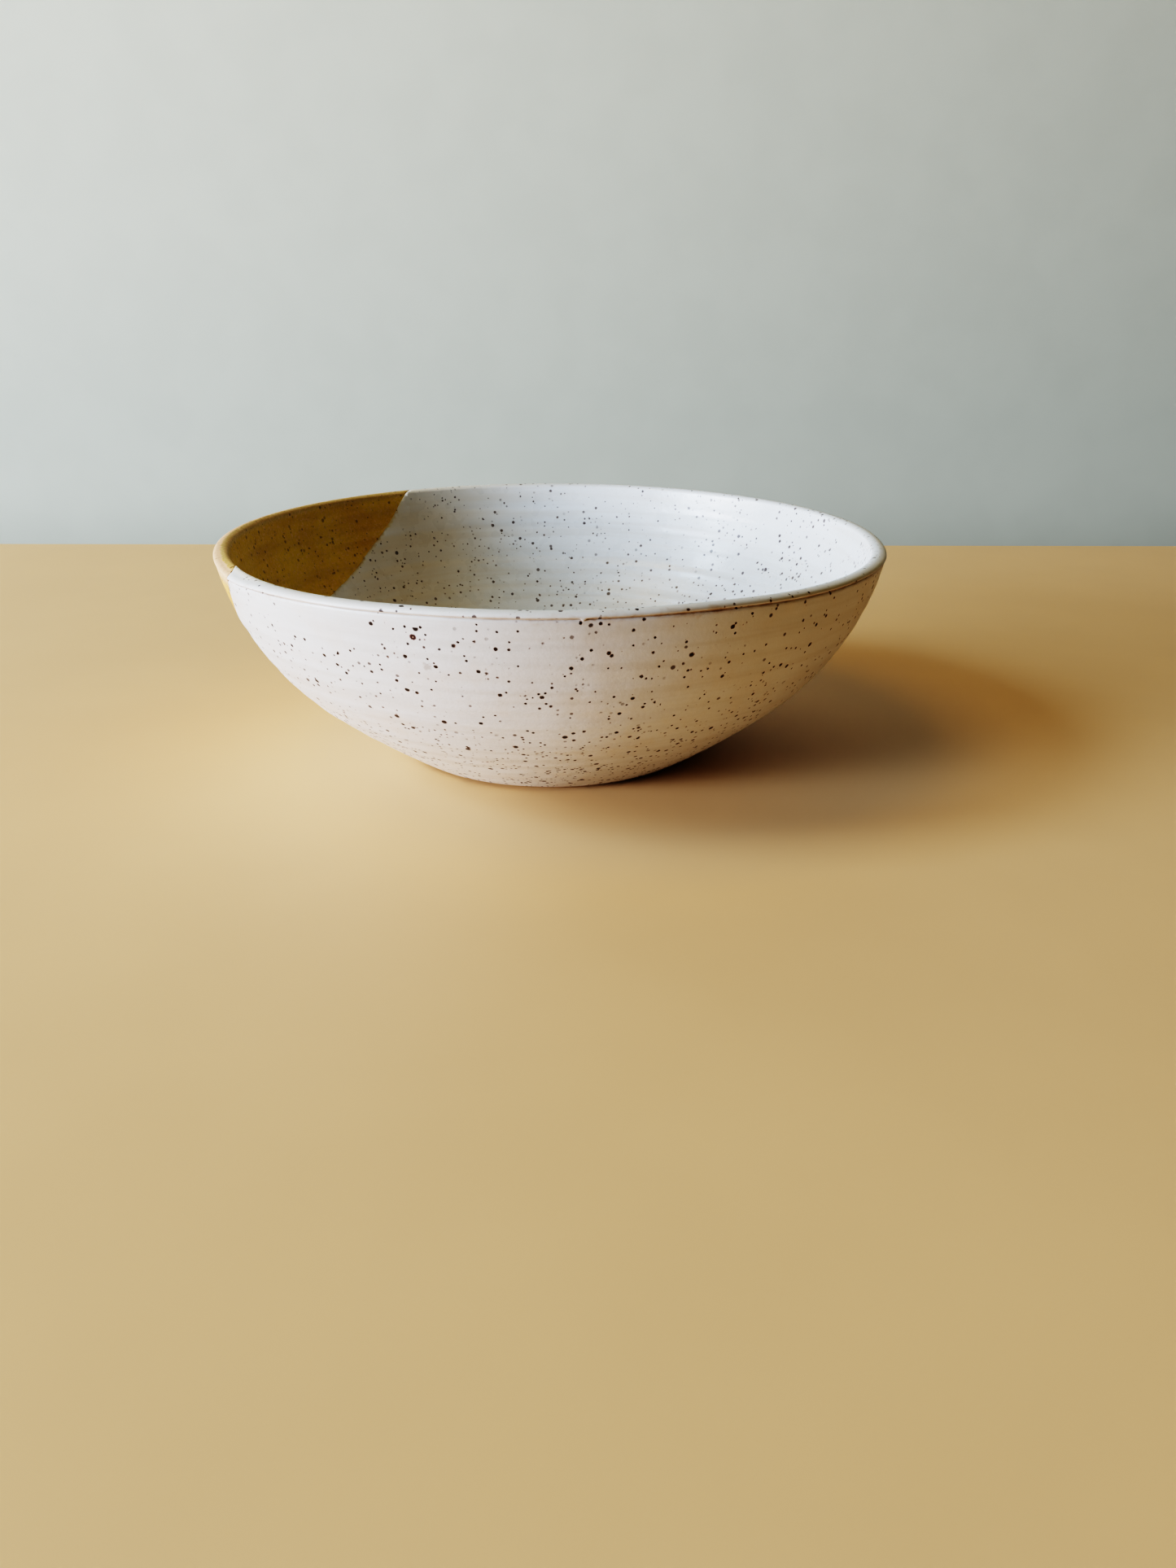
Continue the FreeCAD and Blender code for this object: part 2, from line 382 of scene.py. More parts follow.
def hand_work(points, skin):
    """Moves points of the perfect bowl, in mm, to where the thrown and glazed one has them."""
    r, z = np.hypot(points[:, 0], points[:, 1]), points[:, 2]
    turn = np.arctan2(points[:, 1], points[:, 0])
    depth_out, depth_in, along_out, along_in, way = section_place(r, z)
    outer, inner = 1 - smooth(*SKIN_FADE, depth_out), 1 - smooth(*SKIN_FADE, depth_in)
    body = 1 - smooth(*RINGS_END, z)
    foot = smooth(*FOOT_FADE, z)
    out = (outer * foot * rings(RINGS_OUTSIDE, along_out, turn)
           + inner * rings(RINGS_INSIDE, along_in, turn)) * body
    out += lumps(points, 11, *BODY_SWELL) * body * foot
    spread = np.stack([np.cos(turn), np.sin(turn)], -1)
    outwards = np.concatenate([spread * way[:, :1], way[:, 1:]], -1)

    # the dip's edge wanders a little, and the white coats end in a slightly thicker bead there
    gap = points @ DIP_NORMAL - DIP_DISTANCE
    wander = lumps(points, 12, *DIP_WANDER) * np.exp(-(gap / WANDER_REACH) ** 2)
    in_front = 1 - smooth(*SHIFT_BEHIND, points[:, 1])
    shifted = smooth(*SHIFT_OVER_LIP, depth_in - depth_out) * in_front
    wander -= FRONT_SHIFT * shifted * np.exp(-(gap / SHIFT_REACH) ** 2)
    across = DIP_NORMAL - outwards * (outwards @ DIP_NORMAL)[:, None]
    bead = BEAD * np.exp(-((gap + BEAD_WIDTH) / BEAD_WIDTH) ** 2) * (gap < 0) * skin
    facing = np.where(depth_in < depth_out, -1.0, 1.0)
    lumpy = lumps(points, 13, *SKIN_LUMPS) * skin * facing
    moved = points + outwards * (out + bead * facing + lumpy)[:, None] + across * wander[:, None]
    return warp(moved)


# The rim's departure from a circle, as shares of the radius: two and three lobes, and one flat
OVAL_Y, THREE_X, THREE_Y = 0.0143, 0.0143, 0.0041
FLAT_AT, FLAT_WIDTH, FLAT = -1, 12, -0.006          # azimuth and width in degrees

# The lip's slow waves: its tilt and two lobes as shares of the radius, and two single waves
TIP_X, TIP_Y, SADDLE_X, SADDLE_Y = -0.0125, 0.0084, -0.0041, 0.0060
LIP_WAVES = ((-132, 22, -1.0), (-65, 14, 0.5))      # azimuth, width in degrees, height in mm


def warp(points):
    """The rim out of round and the lip up and down, both fading out down to the foot."""
    x, y, z = points.T
    turn = np.arctan2(y, x)
    rise = z / HEIGHT
    out = OVAL_Y * np.sin(2 * turn) + THREE_X * np.cos(3 * turn) + THREE_Y * np.sin(3 * turn)
    out += FLAT * np.exp(-((np.degrees(turn) - FLAT_AT) / FLAT_WIDTH) ** 2)
    reach = np.hypot(x, y) / RIM
    stretch = 1 + out * rise * reach
    saddle = (SADDLE_X * np.cos(2 * turn) + SADDLE_Y * np.sin(2 * turn)) * RIM * reach ** 2
    tip = TIP_X * x + TIP_Y * y
    lift = (tip + saddle) * rise ** 2
    for azimuth, width, height in LIP_WAVES:
        away = (np.degrees(turn) - azimuth + 180) % 360 - 180
        lift += height * np.exp(-(away / width) ** 2) * rise ** 4 * reach ** 4
    return np.stack([x * stretch, y * stretch, z + lift], -1)


# ---------------------------------------------------------------------------------------------
# Building the pieces
# ---------------------------------------------------------------------------------------------
JOIN_WITHIN, ON_CUT_WITHIN = 1e-4, 1e-5     # mm: points this close are one, or lie on the cut


def turned_mesh(name, points, skin, closed):
    """Mesh of a section turned about Z, with the skin mark on its vertices."""
    count = points.shape[1]
    ring = np.stack([points[..., 0] * np.cos(TURNS)[:, None],
                     points[..., 0] * np.sin(TURNS)[:, None], points[..., 1]], -1)
    column = np.arange(COLUMNS)[:, None] * count
    after = (np.arange(COLUMNS)[:, None] + 1) % COLUMNS * count
    here = np.arange(count if closed else count - 1)[None]
    there = (here + 1) % count
    faces = np.stack([column + here, after + here, after + there, column + there], -1)
    mesh = bpy.data.meshes.new(name)
    mesh.from_pydata(ring.reshape(-1, 3).tolist(), [], faces.reshape(-1, 4).tolist())
    mesh.attributes.new("skin", "FLOAT", "POINT").data.foreach_set("value", skin.ravel())
    return mesh


def cut_at_dip(work, keep_dipped):
    """Cuts a coat at the dip's edge, keeps one side and closes it."""
    result = bmesh.ops.bisect_plane(
        work, geom=work.verts[:] + work.edges[:] + work.faces[:], dist=ON_CUT_WITHIN,
        plane_co=Vector(DIP_NORMAL * DIP_DISTANCE), plane_no=Vector(DIP_NORMAL),
        clear_inner=keep_dipped, clear_outer=not keep_dipped)
    edges = [e for e in result["geom_cut"] if isinstance(e, bmesh.types.BMEdge)]
    bmesh.ops.triangle_fill(work, edges=edges, use_beauty=True, use_dissolve=False)


def finish_mesh(mesh, keep):
    """Joins the columns at the axis, cuts the dip's edge and applies the hand work."""
    work = bmesh.new()
    work.from_mesh(mesh)
    bmesh.ops.remove_doubles(work, verts=work.verts[:], dist=JOIN_WITHIN)
    if keep != "all":
        cut_at_dip(work, keep == "dipped")
    bmesh.ops.recalc_face_normals(work, faces=work.faces[:])
    work.to_mesh(mesh)
    work.free()
    count = len(mesh.vertices)
    points, skin = np.empty(count * 3), np.empty(count)
    mesh.vertices.foreach_get("co", points)
    mesh.attributes["skin"].data.foreach_get("value", skin)
    points = points.reshape(-1, 3)
    add_marks(mesh, points)
    mesh.vertices.foreach_set("co", (hand_work(points, skin) * UNIT).ravel())
    mesh.update()
    mesh.shade_smooth()


OUTSIDE_MARK = 300          # added to the distance along the wall on the outside, in mm
NO_EDGE = 20.0              # distance that stands for "no coat's edge near here"
CREST_BLEND = 1.2           # inside and outside blend into each other over this depth


def below_lip(distance):
    """The mark "along" at that distance in mm below the lip on the outside."""
    return (OUTSIDE_MARK + distance) / 1000


def add_marks(mesh, points):
    """Marks that the materials read, all from the perfect bowl.

    along: distance down the wall from the lip, in metres, with OUTSIDE_MARK on the outside.
    edge: distance in mm from a coat's edge. inside: 1 on the inner face and 0 on the outer.
    """
    r, z = np.hypot(points[:, 0], points[:, 1]), points[:, 2]
    turn = np.arctan2(points[:, 1], points[:, 0])
    depth_out, depth_in, along_out, along_in, _ = section_place(r, z)
    is_inside = depth_in < depth_out
    order = np.append(TURNS, TURNS[0] + 2 * math.pi)
    line = np.interp(turn, order, np.append(LINER_LOW, LINER_LOW[0]))
    top = np.interp(turn, order, np.append(COAT_TOP, COAT_TOP[0]))
    low = np.interp(turn, order, np.append(COAT_LOW, COAT_LOW[0]))
    outside = depth_out < WALL / 2
    under_lip = np.minimum(np.abs(z - line), np.abs(z - top))
    edge = np.where(outside, np.minimum(under_lip, np.abs(z - low)), NO_EDGE)
    marks = {"along": np.where(is_inside, along_in, along_out + OUTSIDE_MARK) / 1000,
             "edge": np.clip(edge, 0, NO_EDGE),
             "inside": smooth(-CREST_BLEND, CREST_BLEND, depth_out - depth_in)}
    for name, value in marks.items():
        mesh.attributes.new(name, "FLOAT", "POINT").data.foreach_set("value", value)


def build(name, section, node, material, keep="all", closed=False):
    """Makes a visual piece in place of a CAD node. A closed section loops back to its start."""
    mesh = turned_mesh(name, *section, closed)
    finish_mesh(mesh, keep)
    piece = bpy.data.objects.new(name, mesh)
    bpy.context.scene.collection.objects.link(piece)
    mesh.materials.append(material)
    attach(piece, "root")
    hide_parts(node)


# ---------------------------------------------------------------------------------------------
# Materials
# ---------------------------------------------------------------------------------------------
# Colours, as linear RGB. Speck colours are the rusty rim, then the iron core.
OUTER_WHITE, OUTER_CLOUD, OUTER_WARM = (0.81, 0.785, 0.75), (0.77, 0.74, 0.70), (0.79, 0.69, 0.59)
LINER_WHITE, LINER_CLOUD = (0.80, 0.815, 0.82), (0.765, 0.78, 0.785)
# The middle colour on the next line is painted warm shade, for the inside towards the dip's edge.
WHITE_STREAK, WHITE_PAINTED_WARM_SHADE, WHITE_GRAIN = (0.62, 0.57, 0.50), (0.82, 0.67, 0.47), (0.66, 0.62, 0.56)
# The last colour on the next line is painted warm shade, low on the outside.
EDGE_WASH, EDGE_SCORCH, LOW_PAINTED_WARM_SHADE = (0.56, 0.41, 0.27), (0.38, 0.21, 0.11), (0.74, 0.66, 0.55)
WHITE_SPECKS = (0.17, 0.075, 0.045), (0.014, 0.007, 0.006)
PIT = (0.42, 0.35, 0.30)
BLOOM_RUST, BLOOM_IRON, BLOOM_HEART = (0.14, 0.035, 0.025), (0.03, 0.010, 0.008), (0.50, 0.30, 0.23)
OCHRE_DEEP, OCHRE_DEEP_CLOUD = (0.76, 0.47, 0.022), (0.68, 0.385, 0.016)
# The colours on the next line are painted light: a lit copy of the mustard, for the outside.
OCHRE_PALE_LIT, OCHRE_PALE_LIT_CLOUD = (0.86, 0.455, 0.165), (0.80, 0.405, 0.135)
# The second colour on the next line is painted shade, for the lip's inner roll.
OCHRE_LIP, OCHRE_ROLL_SHADE = (0.85, 0.525, 0.31), (0.57, 0.38, 0.13)
OCHRE_STREAK, OCHRE_MOTTLE = (0.40, 0.19, 0.02), (0.34, 0.16, 0.02)
OCHRE_SPECKS = (0.20, 0.08, 0.012), (0.060, 0.024, 0.007)
CLAY, CLAY_GRAIN, CLAY_PATCH = (0.58, 0.42, 0.28), (0.45, 0.31, 0.19), (0.50, 0.30, 0.16)
CLAY_EDGE, CLAY_BURNT = (0.70, 0.60, 0.50), (0.42, 0.26, 0.14)
CLAY_SPECKS = (0.14, 0.07, 0.03), (0.03, 0.018, 0.012)

GLAZE_RELIEF, CLAY_RELIEF = 0.05, 0.12      # heights in mm of the fine relief
ROUND_SHARE = 0.06          # how slowly bands change round the bowl, against down the wall


class Shader:
    """A material's node tree, with short calls for the nodes that repeat."""

    def __init__(self, name):
        self.material = bpy.data.materials.new(name)
        self.material.use_nodes = True
        self.tree = self.material.node_tree
        self.tree.nodes.clear()
        self.where = self.node("ShaderNodeTexCoord").outputs["Object"]

    def node(self, kind, inputs=(), **settings):
        made = self.tree.nodes.new(kind)
        for key, value in settings.items():
            setattr(made, key, value)
        for key, value in dict(inputs).items():
            self.put(made.inputs[key], value)
        return made

    def put(self, socket, value):
        """Links a socket to another one, or sets it to a plain value."""
        if isinstance(value, bpy.types.NodeSocket):
            self.tree.links.new(value, socket)
        elif isinstance(value, tuple) and len(value) == 3 and socket.type == "RGBA":
            socket.default_value = (*value, 1)
        else:
            socket.default_value = value

    def math(self, operation, a, b=0.0):
        return self.node("ShaderNodeMath", {0: a, 1: b}, operation=operation).outputs[0]

    def times(self, first, *others):
        for other in others:
            first = self.math("MULTIPLY", first, other)
        return first

    def mark(self, name):
        return self.node("ShaderNodeAttribute", attribute_name=name).outputs["Fac"]

    def noise(self, size, where=None, detail=2.0, rough=0.55):
        """Noise whose features are about that many mm across."""
        inputs = {"Vector": where or self.where, "Scale": 1000.0 / size, "Detail": detail,
                  "Roughness": rough}
        return self.node("ShaderNodeTexNoise", inputs).outputs["Fac"]

    def ramp(self, value, low, high, start=0.0, end=1.0):
        """Smooth step from start, where the value is low, to end, where it is high."""
        inputs = {"Value": value, "From Min": low, "From Max": high, "To Min": start, "To Max": end}
        made = self.node("ShaderNodeMapRange", inputs, interpolation_type="SMOOTHSTEP")
        return made.outputs["Result"]

    def clouds(self, size, low, high, start=0.0, end=1.0, detail=2.0):
        """Noise of that size in mm, spread from start to end."""
        return self.ramp(self.noise(size, detail=detail), low, high, start, end)

    def mix(self, share, a, b):
        made = self.node("ShaderNodeMix", data_type="RGBA")
        self.put(made.inputs[0], share)
        self.put(made.inputs[6], a)
        self.put(made.inputs[7], b)
        return made.outputs[2]

    def finish(self, color, roughness, bump, height_mm, **surface):
        """The material, with its relief of that height."""
        relief = self.node("ShaderNodeBump", {"Height": bump, "Strength": 1.0,
                                              "Distance": height_mm / 1000})
        inputs = {"Base Color": color, "Roughness": roughness, "Normal": relief.outputs[0]}
        inputs.update(surface)
        body = self.node("ShaderNodeBsdfPrincipled", inputs)
        out = self.node("ShaderNodeOutputMaterial")
        self.tree.links.new(body.outputs[0], out.inputs[0])
        return self.material


def bands(shader, size, seed):
    """Noise drawn out along the throwing rings: fine down the wall, long round it."""
    x, y = (shader.times(part, ROUND_SHARE) for part in
            shader.node("ShaderNodeSeparateXYZ", {0: shader.where}).outputs[:2])
    along = shader.math("ADD", shader.mark("along"), seed)
    where = shader.node("ShaderNodeCombineXYZ", {0: x, 1: y, 2: along}).outputs[0]
    return shader.noise(size, where, detail=2.5)


def jittered(shader, size, amount):
    """Object coordinates shaken a little, so that round things come out uneven (sizes in mm)."""
    jitter = shader.node("ShaderNodeTexNoise", {"Vector": shader.where, "Scale": 1000.0 / size,
                                                "Detail": 1.0})
    shift = shader.node("ShaderNodeVectorMath", {0: jitter.outputs["Color"], 1: (0.5, 0.5, 0.5)},
                        operation="SUBTRACT")
    shift = shader.node("ShaderNodeVectorMath", {0: shift.outputs[0], "Scale": amount / 1000},
                        operation="SCALE")
    moved = shader.node("ShaderNodeVectorMath", {0: shader.where, 1: shift.outputs[0]},
                        operation="ADD")
    return moved.outputs[0]


# Layers of specks: cell and radius in mm, share of the cells that hold a speck, offset of the
# pattern, and how strongly the faintest of them show
SPECK_LAYERS = ((4.2, 0.60, 0.44, 5.3, 0.70),
                (2.4, 0.48, 0.70, 2.3, 0.22),
                (1.5, 0.31, 0.50, 3.7, 0.10))

# The largest specks on the front: azimuth in degrees, height and radius in mm
LARGE_SPECKS = ((-80.5, 54.5, 0.56), (-61.4, 58.5, 0.66), (-109.2, 42.0, 0.56),
                (-111.9, 45.0, 0.52))
IRON_BLOOM = (-107.3, 57.7, 0.90)       # a speck that burst into a reddish ring
PALE_SCAR = (-106.2, 50.0, 1.5)         # a faint healed pit in the glaze below it


def specks(shader, where, cell, radius, share, seed):
    """Iron specks, at most one in each cell (sizes in mm): core, whole speck, and its own tone."""
    moved = shader.node("ShaderNodeVectorMath", {0: where, 1: (seed, seed * 0.7, seed * 1.3)},
                        operation="ADD").outputs[0]
    cells = shader.node("ShaderNodeTexVoronoi", {"Vector": moved, "Scale": 1000.0 / cell}).outputs
    draws = shader.node("ShaderNodeSeparateColor", {0: cells["Color"]}).outputs
    chance, size, tone = draws[0], draws[1], draws[2]
    reach = shader.ramp(size, 0, 1, 0.75 * radius / cell, 1.20 * radius / cell)
    near_by = shader.math("SUBTRACT", 1.0, shader.math("DIVIDE", cells["Distance"], reach))

    # there are more low on the outside than inside, and they come in loose groups
    patchy = shader.clouds(16, 0.3, 0.7, 0.45 * share, 1.5 * share, detail=1.0)
    outside = shader.ramp(shader.mark("along"), below_lip(2), below_lip(75), 0.50, 1.30)
    crowd = shader.ramp(shader.mark("inside"), 0, 1, outside, 0.75)
    present = shader.math("LESS_THAN", chance, shader.times(patchy, crowd))
    whole = shader.times(shader.ramp(near_by, -0.22, 0.12), present)
    core = shader.times(shader.ramp(near_by, 0.0, 0.26), present)
    return core, whole, tone


def add_specks(shader, color, colors, strength=1.0):
    """Paints the layers of specks. Some small ones lie under the glaze and show only faintly."""
    rust, iron = colors
    where = jittered(shader, 0.45, 0.28)
    relief = None
    fade = shader.ramp(shader.mark("inside"), 0, 1, strength, 0.68 * strength)
    for cell, radius, share, seed, faintest in SPECK_LAYERS:
        core, whole, tone = specks(shader, where, cell, radius, share, seed)
        clear = shader.times(shader.ramp(tone, 0.0, 0.50, faintest, 1.0), fade)
        color = shader.mix(shader.times(whole, clear, 0.85), color, rust)
        color = shader.mix(shader.times(core, clear), color, iron)
        relief = core if relief is None else shader.math("MAXIMUM", relief, core)
    return color, relief


def on_outside(azimuth, height):
    """Point of the finished bowl's outer skin in metres, on the round shoulder."""
    turn = math.radians(azimuth)
    r = polar(SHOULDER, SHOULDER_RADIUS, slope_at(SHOULDER, SHOULDER_RADIUS, height))[0]
    return tuple(warp(np.array([[r * math.cos(turn), r * math.sin(turn), height]]))[0] * UNIT)


def away_from(shader, where, azimuth, height):
    """Distance in mm from a place on the outer skin."""
    made = shader.node("ShaderNodeVectorMath", {0: where, 1: on_outside(azimuth, height)},
                       operation="DISTANCE")
    return shader.times(made.outputs["Value"], 1000.0)


def spot(shader, color, away, radius, fade, share, paint):
    """Paints a round spot that fades out between those two shares of its radius."""
    inside_it = shader.ramp(away, radius * fade[0], radius * fade[1], 0.0, share)
    return shader.mix(inside_it, color, paint)


def add_front_marks(shader, color, colors):
    """The largest specks, the iron bloom and the healed pit, each at its own place."""
    rust, iron = colors
    where = jittered(shader, 0.5, 0.35)
    for azimuth, height, radius in LARGE_SPECKS:
        away = away_from(shader, where, azimuth, height)
        color = spot(shader, color, away, radius, (1.1, 0.85), 0.9, rust)
        color = spot(shader, color, away, radius, (0.9, 0.6), 1.0, iron)
    azimuth, height, radius = PALE_SCAR
    away = away_from(shader, where, azimuth, height)
    cratered = shader.math("ADD", away, shader.clouds(1.1, 0.3, 0.7, -0.5, 0.5))
    color = spot(shader, color, cratered, radius, (1.0, 0.3), 0.6, PIT)
    azimuth, height, radius = IRON_BLOOM
    away = away_from(shader, where, azimuth, height)
    color = spot(shader, color, away, radius, (1.05, 0.8), 0.95, BLOOM_RUST)
    color = spot(shader, color, away, radius, (0.85, 0.6), 1.0, BLOOM_IRON)
    return spot(shader, color, away, radius, (0.34, 0.15), 0.7, BLOOM_HEART)


def edge_burn(shader):
    """How far the coats' edges under the lip burnt to rust: patchy, and most right of the front."""
    x = shader.node("ShaderNodeSeparateXYZ", {0: shader.where}).outputs[0]
    x = shader.math("ADD", x, shader.clouds(14, 0.3, 0.7, -0.02, 0.02))
    front = shader.ramp(x, -0.030, 0.050, 0.12, 1.0)
    left_end = shader.ramp(x, -0.062, -0.045, 0.40, 0.0)
    right_end = shader.ramp(x, 0.034, 0.062, 1.0, 0.42)
    patches = shader.clouds(3.4, 0.36, 0.64, 0.25, 1.0)
    return shader.times(shader.math("ADD", front, left_end), right_end, patches)


def past_dip(shader):
    """Distance in mm past the dip's edge; it is below zero in the white."""
    along = shader.node("ShaderNodeVectorMath", {0: shader.where, 1: tuple(DIP_NORMAL * 1000)},
                        operation="DOT_PRODUCT")
    return shader.math("SUBTRACT", along.outputs["Value"], DIP_DISTANCE * UNIT * 1000)


def thin_edges_and_low_shade(shader, color):
    """The white breaks to tan, then rust, where it thins out at an edge. Low down it turns a
    darker, warmer tan, which is painted warm shade.
    """
    ragged = shader.math("ADD", shader.mark("edge"), shader.noise(2.4))
    near_edge = shader.math("SUBTRACT", ragged, 0.5)
    burn = edge_burn(shader)
    smudge = shader.clouds(5.0, 0.46, 0.66, 0.0, 0.9, detail=3.0)
    wash = shader.ramp(shader.math("SUBTRACT", near_edge, smudge), 0.9, 0.05, 0.0, 0.60)
    color = shader.mix(shader.times(wash, burn), color, EDGE_WASH)
    scorch = shader.ramp(near_edge, 0.30, -0.02, 0.0, 0.80)
    color = shader.mix(shader.times(scorch, burn), color, EDGE_SCORCH)
    # painted warm shade: the outside turns a darker, warmer tan towards the foot
    low_warm_shade = shader.ramp(shader.mark("along"), below_lip(45), below_lip(100), 0.0, 0.35)
    return shader.mix(low_warm_shade, color, LOW_PAINTED_WARM_SHADE)


def glaze_bump(shader, relief, dent):
    """A glaze's fine orange peel, dented at each speck."""
    peel = shader.math("ADD", shader.noise(1.6), shader.times(shader.noise(0.5, detail=1.0), 0.3))
    return shader.math("SUBTRACT", peel, shader.times(relief, dent))


def white_glaze():
    """Cool and glossier inside, warmer outside, with clouds, streaks, and painted warm shade on the
    inside towards the dip.
    """
    shader = Shader("white_satin_glaze")
    cloud = shader.clouds(26, 0.32, 0.68, detail=3.0)
    outer = shader.mix(cloud, OUTER_WHITE, OUTER_CLOUD)
    liner = shader.mix(cloud, LINER_WHITE, LINER_CLOUD)
    warm = shader.clouds(13, 0.48, 0.70, 0.0, 0.38, detail=3.0)
    color = shader.mix(shader.mark("inside"), shader.mix(warm, outer, OUTER_WARM), liner)
    streak = shader.ramp(bands(shader, 3.2, 0.0), 0.40, 0.72, 0.0, 0.38)
    color = shader.mix(streak, color, WHITE_STREAK)
    # painted warm shade: the inside turns warm towards the dip's edge, where it lies in shade
    painted_warm_shade = shader.times(shader.ramp(past_dip(shader), -50, -3, 0.0, 0.55), shader.mark("inside"))
    color = shader.mix(painted_warm_shade, color, WHITE_PAINTED_WARM_SHADE)
    color = shader.mix(shader.clouds(0.8, 0.35, 0.75, 0.0, 0.10), color, WHITE_GRAIN)
    color = thin_edges_and_low_shade(shader, color)
    color, relief = add_specks(shader, color, WHITE_SPECKS)
    color = add_front_marks(shader, color, WHITE_SPECKS)
    glossier = shader.ramp(shader.mark("inside"), 0, 1, 0.0, -0.18)
    rough = shader.math("ADD", shader.clouds(7, 0.3, 0.7, 0.42, 0.54), glossier)
    return shader.finish(color, rough, glaze_bump(shader, relief, 0.5), GLAZE_RELIEF)


def ochre_glaze():
    """Mustard inside, with brown painted shade at the lip's inner roll. Pale orange on the outside
    is painted light, a lit copy of the mustard, and the lip is paler still.
    """
    shader = Shader("ochre_satin_glaze")
    cloud = shader.clouds(18, 0.32, 0.68, detail=3.0)
    deep = shader.mix(cloud, OCHRE_DEEP, OCHRE_DEEP_CLOUD)
    # painted shade: the mustard darkens to brown on the lip's inner roll, which turns away from the
    # light
    roll_shade = shader.ramp(shader.mark("along"), 0.0016, -0.0006)
    deep = shader.mix(roll_shade, deep, OCHRE_ROLL_SHADE)
    # painted light: the outside gets a pale, lit copy of the mustard, and the lip is paler still
    pale_lit = shader.mix(cloud, OCHRE_PALE_LIT, OCHRE_PALE_LIT_CLOUD)
    lip = shader.ramp(shader.mark("along"), below_lip(3.5), below_lip(1.0))
    pale_lit = shader.mix(lip, pale_lit, OCHRE_LIP)
    inwards = shader.math("ADD", shader.mark("inside"), shader.clouds(0.7, 0.3, 0.7, -0.35, 0.35))
    color = shader.mix(shader.ramp(inwards, 0.35, 1.0), pale_lit, deep)
    streak = shader.ramp(bands(shader, 3.0, 0.4), 0.42, 0.72, 0.0, 0.30)
    color = shader.mix(streak, color, OCHRE_STREAK)
    color = shader.mix(shader.clouds(1.3, 0.45, 0.75, 0.0, 0.25, detail=3.0), color, OCHRE_MOTTLE)
    color, relief = add_specks(shader, color, OCHRE_SPECKS, 0.72)
    rough = shader.clouds(6, 0.3, 0.7, 0.60, 0.74)
    return shader.finish(color, rough, glaze_bump(shader, relief, 0.4), GLAZE_RELIEF,
                         **{"Specular IOR Level": 0.35})


def stoneware():
    """Bare sandy clay, burnt where it meets the glaze."""
    shader = Shader("bare_stoneware")
    grain = shader.noise(0.9, detail=4.0, rough=0.65)
    color = shader.mix(shader.ramp(grain, 0.3, 0.7), CLAY, CLAY_GRAIN)
    color = shader.mix(shader.clouds(14, 0.35, 0.7, 0.0, 0.5), color, CLAY_PATCH)
    burnt = shader.mix(edge_burn(shader), CLAY_EDGE, CLAY_BURNT)
    color = shader.mix(shader.ramp(shader.mark("edge"), 1.1, 0.3, 0.0, 0.9), color, burnt)
    color, relief = add_specks(shader, color, CLAY_SPECKS)
    rough = shader.ramp(grain, 0.3, 0.7, 0.72, 0.88)
    bump = shader.math("SUBTRACT", grain, shader.times(relief, 0.4))
    return shader.finish(color, rough, bump, CLAY_RELIEF)


def plain(name, color, roughness):
    """Nearly even colour, for the stage."""
    shader = Shader(name)
    tone = shader.clouds(60, 0.3, 0.7)
    darker = tuple(0.97 * c for c in color)
    return shader.finish(shader.mix(tone, color, darker), roughness, tone, 0.0)


# ---------------------------------------------------------------------------------------------
# Stage, light and camera
# ---------------------------------------------------------------------------------------------
# Sizes in metres: the floor's half width and where it ends at the back, then the wall's place,
# half width and ends
FLOOR_HALF, FLOOR_BACK = 1.6, 0.325
WALL_AT, WALL_HALF, WALL_LOW, WALL_HIGH = 1.1, 4, -2, 3
FLOOR_COLOR, WALL_COLOR = (0.83, 0.54, 0.28), (0.68, 0.675, 0.56)
WORLD_COLOR, WORLD_STRENGTH = (1.0, 0.88, 0.40, 1), 0.030

# Lights: name, azimuth from +X and elevation in degrees as seen from the bowl, distance, width
# and height in metres, power in watts, and colour
LIGHTS = (("window_top", 194, 38, 2.0, (0.55, 0.45), 17.2, (0.62, 0.80, 1.0)),
          ("window_upper", 195, 26, 2.0, (0.40, 0.35), 7.6, (0.65, 0.81, 1.0)),
          ("window_sill", 198, 5, 2.0, (0.50, 0.22), 26.1, (0.88, 0.90, 1.0)),
          ("window_side", 205, 10, 2.0, (0.60, 0.50), 16.5, (0.72, 0.83, 1.0)),
          ("front_fill", 214, 12, 2.0, (0.60, 0.50), 28.5, (0.62, 0.77, 1.0)),
          ("warm_top", 194, 62, 1.8, (0.80, 0.80), 6.8, (1.0, 0.61, 0.04)))

# The camera: lens and sensor in mm, place in mm from the centre of the foot, the angles that it
# looks down and leans over in radians, and its clipping distances in metres
LENS, SENSOR = 27.05, 36
CAMERA_AT = (10.7, -355.8, 128.1)
CAMERA_DOWN, CAMERA_ROLL = math.radians(22.12), -0.0019
CLIP_START, CLIP_END = 0.01, 20


def sheet(name, corners, material):
    """One flat sheet of the stage."""
    mesh = bpy.data.meshes.new(name)
    mesh.from_pydata(corners, [], [(0, 1, 2, 3)])
    mesh.materials.append(material)
    made = bpy.data.objects.new(name, mesh)
    bpy.context.scene.collection.objects.link(made)


def stage(bottom):
    """A pale floor that ends a little way behind the bowl, and a pale wall further back."""
    floor = plain("pale_floor", FLOOR_COLOR, 0.6)
    wall = plain("pale_wall", WALL_COLOR, 0.9)
    sheet("floor", [(-FLOOR_HALF, -FLOOR_HALF, bottom), (FLOOR_HALF, -FLOOR_HALF, bottom),
                    (FLOOR_HALF, FLOOR_BACK, bottom), (-FLOOR_HALF, FLOOR_BACK, bottom)], floor)
    sheet("wall", [(-WALL_HALF, WALL_AT, WALL_LOW), (WALL_HALF, WALL_AT, WALL_LOW),
                   (WALL_HALF, WALL_AT, WALL_HIGH), (-WALL_HALF, WALL_AT, WALL_HIGH)], wall)


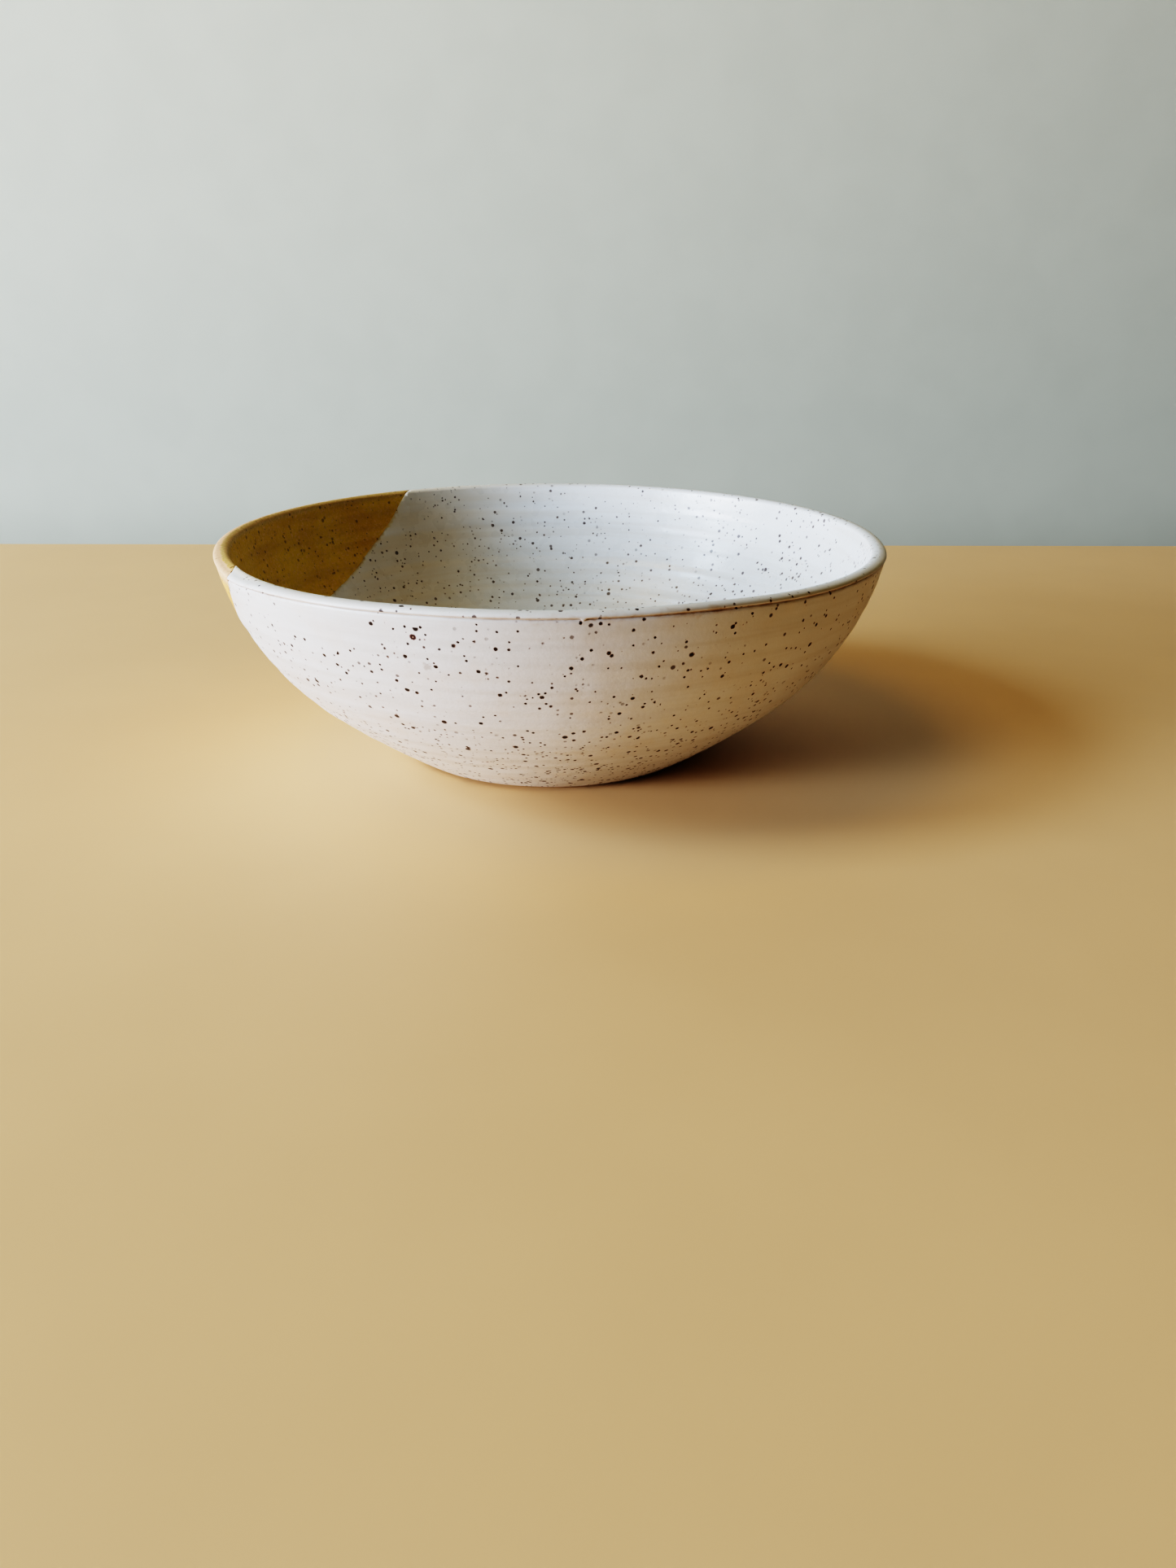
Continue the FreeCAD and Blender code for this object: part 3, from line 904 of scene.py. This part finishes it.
def soft_box(name, azimuth, elevation, distance, size, power, color, centre):
    """Area light of that width and height that faces the bowl."""
    a, e = math.radians(azimuth), math.radians(elevation)
    way = Vector((math.cos(a) * math.cos(e), math.sin(a) * math.cos(e), math.sin(e)))
    lamp = bpy.data.lights.new(name, "AREA")
    lamp.shape = "RECTANGLE"
    lamp.size, lamp.size_y = size
    lamp.energy, lamp.color = power, color
    made = bpy.data.objects.new(name, lamp)
    made.location = centre + way * distance
    made.rotation_euler = way.to_track_quat("Z", "Y").to_euler()
    bpy.context.scene.collection.objects.link(made)


def light(centre):
    """A tall window on the left, low fill in front of it, and warm light from above and around."""
    world = bpy.data.worlds.new("studio")
    world.use_nodes = True
    ground = world.node_tree.nodes["Background"]
    ground.inputs["Color"].default_value = WORLD_COLOR
    ground.inputs["Strength"].default_value = WORLD_STRENGTH
    bpy.context.scene.world = world
    for row in LIGHTS:
        soft_box(*row, centre)


def camera(centre_bottom):
    """The camera stands in front of the bowl and looks down on it a little."""
    lens = bpy.data.cameras.new("camera")
    lens.lens, lens.sensor_width = LENS, SENSOR
    lens.clip_start, lens.clip_end = CLIP_START, CLIP_END
    made = bpy.data.objects.new("camera", lens)
    made.location = centre_bottom + Vector(CAMERA_AT) * UNIT
    made.rotation_euler = (math.radians(90) - CAMERA_DOWN, CAMERA_ROLL, 0)
    bpy.context.scene.collection.objects.link(made)
    bpy.context.scene.camera = made


def display():
    """The look of the photo: high contrast, with the middle tones brought down."""
    settings = bpy.context.scene.view_settings
    settings.view_transform = "Filmic"
    settings.look = "Very High Contrast"
    settings.gamma = 0.80


def main():
    white, ochre, clay = white_glaze(), ochre_glaze(), stoneware()
    build("clay_body_fired", clay_section(), "clay_body", clay)
    build("liner_glaze_coat", liner_section(), "white_liner_glaze", white,
          "undipped")
    build("outer_glaze_coat", coat_section(), "white_outer_glaze", white,
          "undipped", closed=True)
    build("ochre_glaze_coat", dipped_section(), "ochre_dip_glaze", ochre, "dipped")
    centre = (cad_low + cad_high) / 2
    stage(cad_low.z)
    light(centre)
    camera(Vector((centre.x, centre.y, cad_low.z)))
    display()


main()
